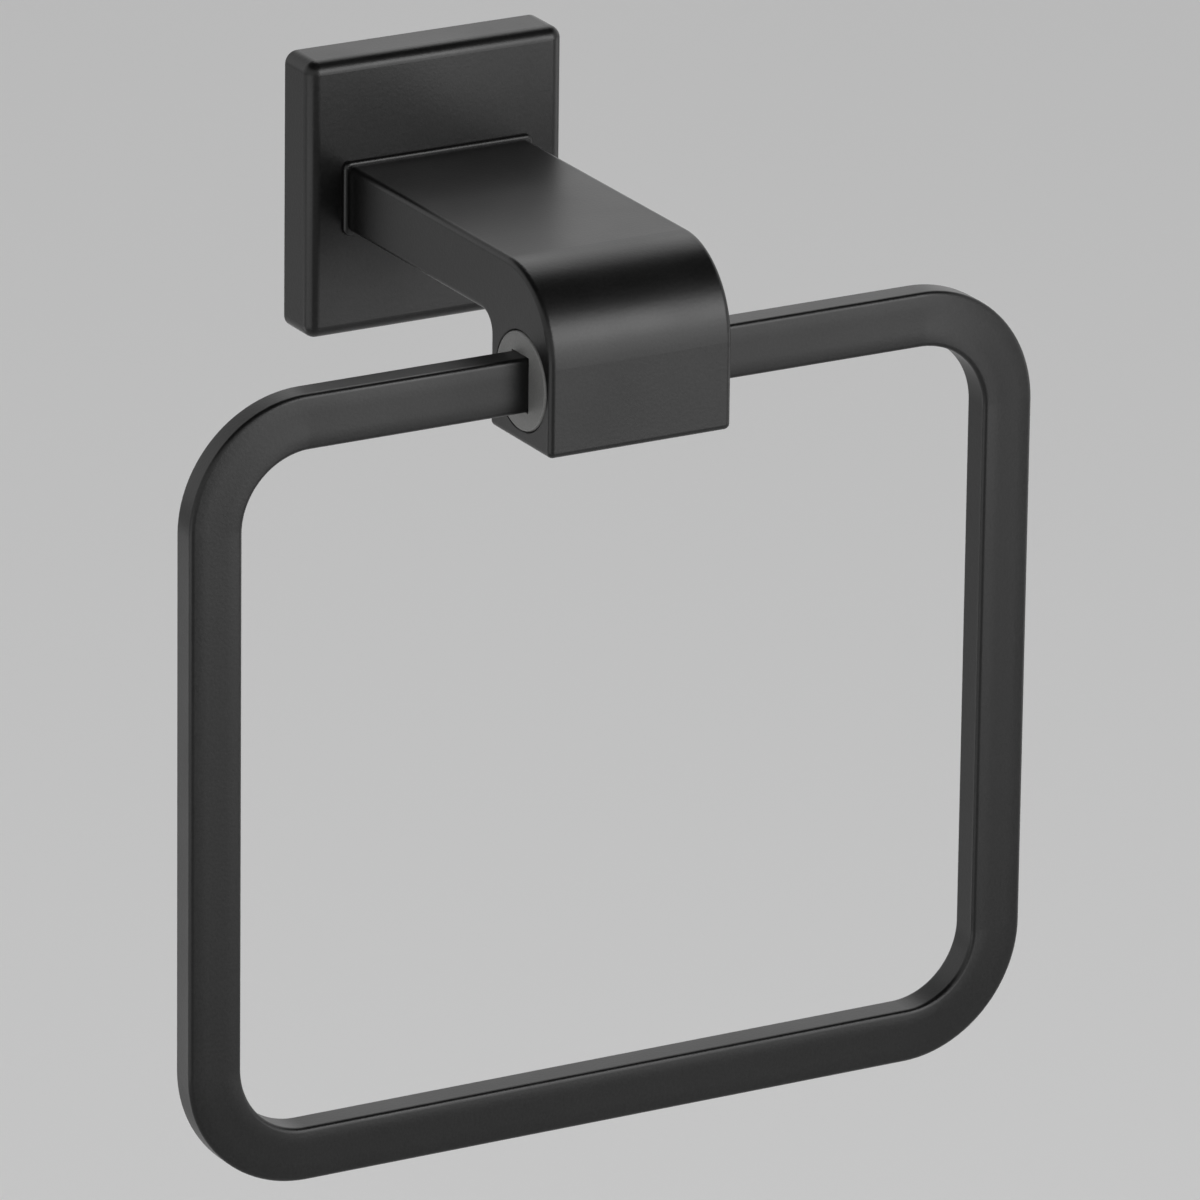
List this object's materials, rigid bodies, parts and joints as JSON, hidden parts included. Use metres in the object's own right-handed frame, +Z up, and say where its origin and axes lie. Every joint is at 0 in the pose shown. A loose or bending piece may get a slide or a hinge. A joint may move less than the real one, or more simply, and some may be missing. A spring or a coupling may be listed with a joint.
{
  "type": "towel ring",
  "caption": "Wall-mounted towel ring: square cover plate, flat arm bent down into a head, and a closed rounded-rectangular ring of flat bar that swings in round bushes.",
  "frame": {"origin": "centre of the cover plate's back, in the plane of the wall", "axes": "+Y into the wall, so -Y points out into the room; +Z up; X along the wall"},
  "size_m": [0.167, 0.0835, 0.1798],
  "materials": {
    "black_paint": "satin black powder coat",
    "bush_plastic": "smooth dark grey moulded plastic",
    "plated_steel": "zinc-plated steel"
  },
  "bodies": {
    "post": {"wall_plate": "black_paint", "arm": "black_paint", "arm_screw_left": "plated_steel", "arm_screw_right": "plated_steel", "wall_bracket": "plated_steel", "grub_screw": "plated_steel"},
    "ring": {"ring_bar": "black_paint", "bush_left": "bush_plastic", "bush_right": "bush_plastic"}
  },
  "joints": [
    {"name": "ring_swing", "type": "hinge", "parent": "post", "child": "ring", "pos_m": [0, -0.0731, -0.0148], "axis": [-1, 0, 0], "range_deg": [-29.5, 209.5]}
  ]
}
